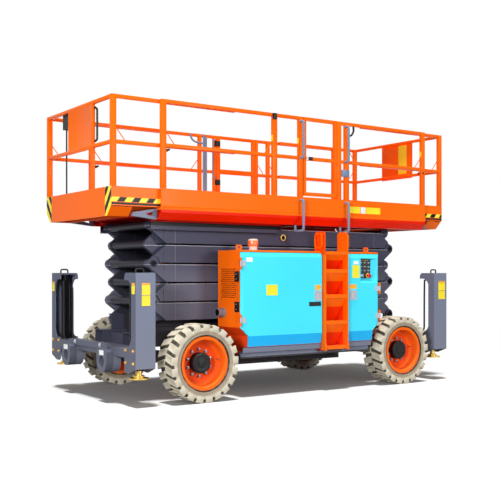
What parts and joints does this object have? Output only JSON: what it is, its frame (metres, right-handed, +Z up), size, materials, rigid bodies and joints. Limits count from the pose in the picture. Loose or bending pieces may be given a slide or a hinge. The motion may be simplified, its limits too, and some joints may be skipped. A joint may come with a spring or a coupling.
{
  "type": "rough-terrain scissor lift",
  "caption": "Diesel rough-terrain scissor lift, stowed: steered lugged wheels, outrigger jacks, side cabinets, ladder, stacked scissor arms and a railed deck with sliding extensions.",
  "frame": {"origin": "on the ground below the middle of the machine", "axes": "+X to the rear, the end with the fixed scissor pins; -Y to the ladder side; +Z up"},
  "size_m": [4.88, 2.29, 3.28],
  "materials": {
    "orange": "satin",
    "slate": "satin",
    "cyan": "satin",
    "tyre": "satin",
    "iron": "satin",
    "black": "satin",
    "zinc": "satin",
    "steel": "satin",
    "grey": "satin",
    "amber": "satin",
    "plastic": "satin"
  },
  "bodies": {
    "chassis": {"chassis_frame": "slate", "front_axle": "iron", "rear_axle": "iron", "outrigger_frames": "slate", "jack_barrels": "black", "cabinet_near": "orange", "cabinet_far": "orange", "grille_near": "orange", "grille_far": "orange", "engine_block": "iron", "fluid_tank": "iron", "ladder": "orange", "beacon": "amber", "exhaust": "steel"},
    "knuckle_near": {"knuckle_near": "slate"},
    "knuckle_far": {"knuckle_far": "slate"},
    "tie_rod": {"tie_rod": "steel"},
    "wheel_front_near": {"tyre_front_near": "tyre", "rim_front_near": "orange"},
    "jack_front_near": {"jack_front_near": "zinc"},
    "wheel_front_far": {"tyre_front_far": "tyre", "rim_front_far": "orange"},
    "jack_front_far": {"jack_front_far": "zinc"},
    "wheel_rear_near": {"tyre_rear_near": "tyre", "rim_rear_near": "orange"},
    "jack_rear_near": {"jack_rear_near": "zinc"},
    "wheel_rear_far": {"tyre_rear_far": "tyre", "rim_rear_far": "orange"},
    "jack_rear_far": {"jack_rear_far": "zinc"},
    "door_near_front": {"door_near_front": "cyan"},
    "door_near_rear": {"door_near_rear": "cyan", "ground_panel": "plastic"},
    "door_far_front": {"door_far_front": "cyan"},
    "door_far_rear": {"door_far_rear": "cyan"},
    "arm_1_outer": {"arm_1_outer": "slate"},
    "arm_1_inner": {"arm_1_inner": "slate"},
    "arm_2_outer": {"arm_2_outer": "slate"},
    "arm_2_inner": {"arm_2_inner": "slate"},
    "arm_3_outer": {"arm_3_outer": "slate"},
    "arm_3_inner": {"arm_3_inner": "slate"},
    "arm_4_outer": {"arm_4_outer": "slate"},
    "arm_4_inner": {"arm_4_inner": "slate"},
    "arm_5_outer": {"arm_5_outer": "slate"},
    "arm_5_inner": {"arm_5_inner": "slate"},
    "lower_barrel": {"lower_barrel": "black"},
    "lower_ram": {"lower_ram": "steel"},
    "upper_barrel": {"upper_barrel": "black"},
    "upper_ram": {"upper_ram": "steel"},
    "platform": {"main_deck": "orange", "main_rails": "orange", "grab_bars": "grey", "deck_rollers": "grey"},
    "gate": {"gate": "orange"},
    "front_extension": {"front_deck": "orange", "front_rails": "orange", "control_box": "plastic"},
    "rear_extension": {"rear_deck": "orange", "rear_rails": "orange"}
  },
  "joints": [
    {"name": "steer_near", "type": "hinge", "parent": "chassis", "child": "knuckle_near", "pos_m": [-1.465, -0.79, 0.42], "axis": [0, 0, 1], "range_deg": [-35, 35]},
    {"name": "steer_far", "type": "hinge", "parent": "chassis", "child": "knuckle_far", "pos_m": [-1.465, 0.79, 0.42], "axis": [0, 0, 1], "range_deg": [-35, 35]},
    {"name": "tie_rod_pin", "type": "hinge", "parent": "knuckle_near", "child": "tie_rod", "pos_m": [-1.315, -0.79, 0.323], "axis": [0, 0, 1], "range_deg": [-35, 35]},
    {"name": "spin_front_near", "type": "hinge", "parent": "knuckle_near", "child": "wheel_front_near", "pos_m": [-1.465, -0.9925, 0.42], "axis": [0, 1, 0], "continuous": true},
    {"name": "spin_rear_near", "type": "hinge", "parent": "chassis", "child": "wheel_rear_near", "pos_m": [1.465, -0.9925, 0.42], "axis": [0, 1, 0], "continuous": true},
    {"name": "jack_slide_front_near", "type": "slide", "parent": "chassis", "child": "jack_front_near", "axis": [0, 0, -1], "range_m": [0, 0.45]},
    {"name": "jack_slide_rear_near", "type": "slide", "parent": "chassis", "child": "jack_rear_near", "axis": [0, 0, -1], "range_m": [0, 0.45]},
    {"name": "spin_front_far", "type": "hinge", "parent": "knuckle_far", "child": "wheel_front_far", "pos_m": [-1.465, 0.9925, 0.42], "axis": [0, 1, 0], "continuous": true},
    {"name": "spin_rear_far", "type": "hinge", "parent": "chassis", "child": "wheel_rear_far", "pos_m": [1.465, 0.9925, 0.42], "axis": [0, 1, 0], "continuous": true},
    {"name": "jack_slide_front_far", "type": "slide", "parent": "chassis", "child": "jack_front_far", "axis": [0, 0, -1], "range_m": [0, 0.45]},
    {"name": "jack_slide_rear_far", "type": "slide", "parent": "chassis", "child": "jack_rear_far", "axis": [0, 0, -1], "range_m": [0, 0.45]},
    {"name": "door_swing_near_front", "type": "hinge", "parent": "chassis", "child": "door_near_front", "pos_m": [-0.979, -1.094, 1.2], "axis": [0, 0, -1], "range_deg": [0, 95]},
    {"name": "door_swing_near_rear", "type": "hinge", "parent": "chassis", "child": "door_near_rear", "pos_m": [1.1, -1.094, 1.2], "axis": [0, 0, 1], "range_deg": [0, 95]},
    {"name": "door_swing_far_front", "type": "hinge", "parent": "chassis", "child": "door_far_front", "pos_m": [-0.979, 1.094, 1.2], "axis": [0, 0, 1], "range_deg": [0, 95]},
    {"name": "door_swing_far_rear", "type": "hinge", "parent": "chassis", "child": "door_far_rear", "pos_m": [1.1, 1.094, 1.2], "axis": [0, 0, -1], "range_deg": [0, 95]},
    {"name": "lift", "type": "hinge", "parent": "chassis", "child": "arm_1_outer", "pos_m": [1.78, 0, 0.85], "axis": [0, 1, 0], "range_deg": [0, 53.5]},
    {"name": "cross_1", "type": "hinge", "parent": "arm_1_outer", "child": "arm_1_inner", "pos_m": [0, 0, 0.9575], "axis": [0, 1, 0], "range_deg": [-107, 0]},
    {"name": "knee_1", "type": "hinge", "parent": "arm_1_outer", "child": "arm_2_outer", "pos_m": [-1.78, 0, 1.065], "axis": [0, 1, 0], "range_deg": [-107, 0]},
    {"name": "cross_2", "type": "hinge", "parent": "arm_2_outer", "child": "arm_2_inner", "pos_m": [0, 0, 1.1725], "axis": [0, 1, 0], "range_deg": [0, 107]},
    {"name": "knee_2", "type": "hinge", "parent": "arm_2_outer", "child": "arm_3_outer", "pos_m": [1.78, 0, 1.28], "axis": [0, 1, 0], "range_deg": [0, 107]},
    {"name": "cross_3", "type": "hinge", "parent": "arm_3_outer", "child": "arm_3_inner", "pos_m": [0, 0, 1.3875], "axis": [0, 1, 0], "range_deg": [-107, 0]},
    {"name": "knee_3", "type": "hinge", "parent": "arm_3_outer", "child": "arm_4_outer", "pos_m": [-1.78, 0, 1.495], "axis": [0, 1, 0], "range_deg": [-107, 0]},
    {"name": "cross_4", "type": "hinge", "parent": "arm_4_outer", "child": "arm_4_inner", "pos_m": [0, 0, 1.6025], "axis": [0, 1, 0], "range_deg": [0, 107]},
    {"name": "knee_4", "type": "hinge", "parent": "arm_4_outer", "child": "arm_5_outer", "pos_m": [1.78, 0, 1.71], "axis": [0, 1, 0], "range_deg": [0, 107]},
    {"name": "cross_5", "type": "hinge", "parent": "arm_5_outer", "child": "arm_5_inner", "pos_m": [0, 0, 1.8175], "axis": [0, 1, 0], "range_deg": [-107, 0]},
    {"name": "platform_pin", "type": "hinge", "parent": "arm_5_inner", "child": "platform", "pos_m": [1.78, 0, 1.925], "axis": [0, 1, 0], "range_deg": [0, 53.5]},
    {"name": "lower_cylinder_pin", "type": "hinge", "parent": "arm_2_inner", "child": "lower_barrel", "pos_m": [1.1942, 0, 1.04027], "axis": [0, 1, 0], "range_deg": [-0.01, 7.9]},
    {"name": "lower_cylinder_stroke", "type": "slide", "parent": "lower_barrel", "child": "lower_ram", "axis": [-0.9962, 0, 0.0876], "range_m": [0, 0.6792]},
    {"name": "upper_cylinder_pin", "type": "hinge", "parent": "arm_4_inner", "child": "upper_barrel", "pos_m": [1.1942, 0, 1.47027], "axis": [0, 1, 0], "range_deg": [-0.01, 7.9]},
    {"name": "upper_cylinder_stroke", "type": "slide", "parent": "upper_barrel", "child": "upper_ram", "axis": [-0.9962, 0, 0.0876], "range_m": [0, 0.6792]},
    {"name": "gate_swing", "type": "hinge", "parent": "platform", "child": "gate", "pos_m": [0.043, -0.868, 2.75], "axis": [0, 0, 1], "range_deg": [0, 90]},
    {"name": "front_extension_slide", "type": "slide", "parent": "platform", "child": "front_extension", "axis": [-1, 0, 0], "range_m": [0, 0.9]},
    {"name": "rear_extension_slide", "type": "slide", "parent": "platform", "child": "rear_extension", "axis": [1, 0, 0], "range_m": [0, 0.8]}
  ],
  "couplings": [
    {"joint": "steer_far", "follows": "steer_near", "ratio": 1},
    {"joint": "tie_rod_pin", "follows": "steer_near", "ratio": -1},
    {"joint": "cross_1", "follows": "lift", "ratio": -2},
    {"joint": "knee_1", "follows": "lift", "ratio": -2},
    {"joint": "cross_2", "follows": "lift", "ratio": 2},
    {"joint": "knee_2", "follows": "lift", "ratio": 2},
    {"joint": "cross_3", "follows": "lift", "ratio": -2},
    {"joint": "knee_3", "follows": "lift", "ratio": -2},
    {"joint": "cross_4", "follows": "lift", "ratio": 2},
    {"joint": "knee_4", "follows": "lift", "ratio": 2},
    {"joint": "cross_5", "follows": "lift", "ratio": -2},
    {"joint": "platform_pin", "follows": "lift", "ratio": 1},
    {"joint": "lower_cylinder_pin", "follows": "lift", "ratio": 0.14742},
    {"joint": "lower_cylinder_stroke", "follows": "lift", "m_per_rad": 0.72628},
    {"joint": "upper_cylinder_pin", "follows": "lift", "ratio": 0.14742},
    {"joint": "upper_cylinder_stroke", "follows": "lift", "m_per_rad": 0.72628}
  ]
}
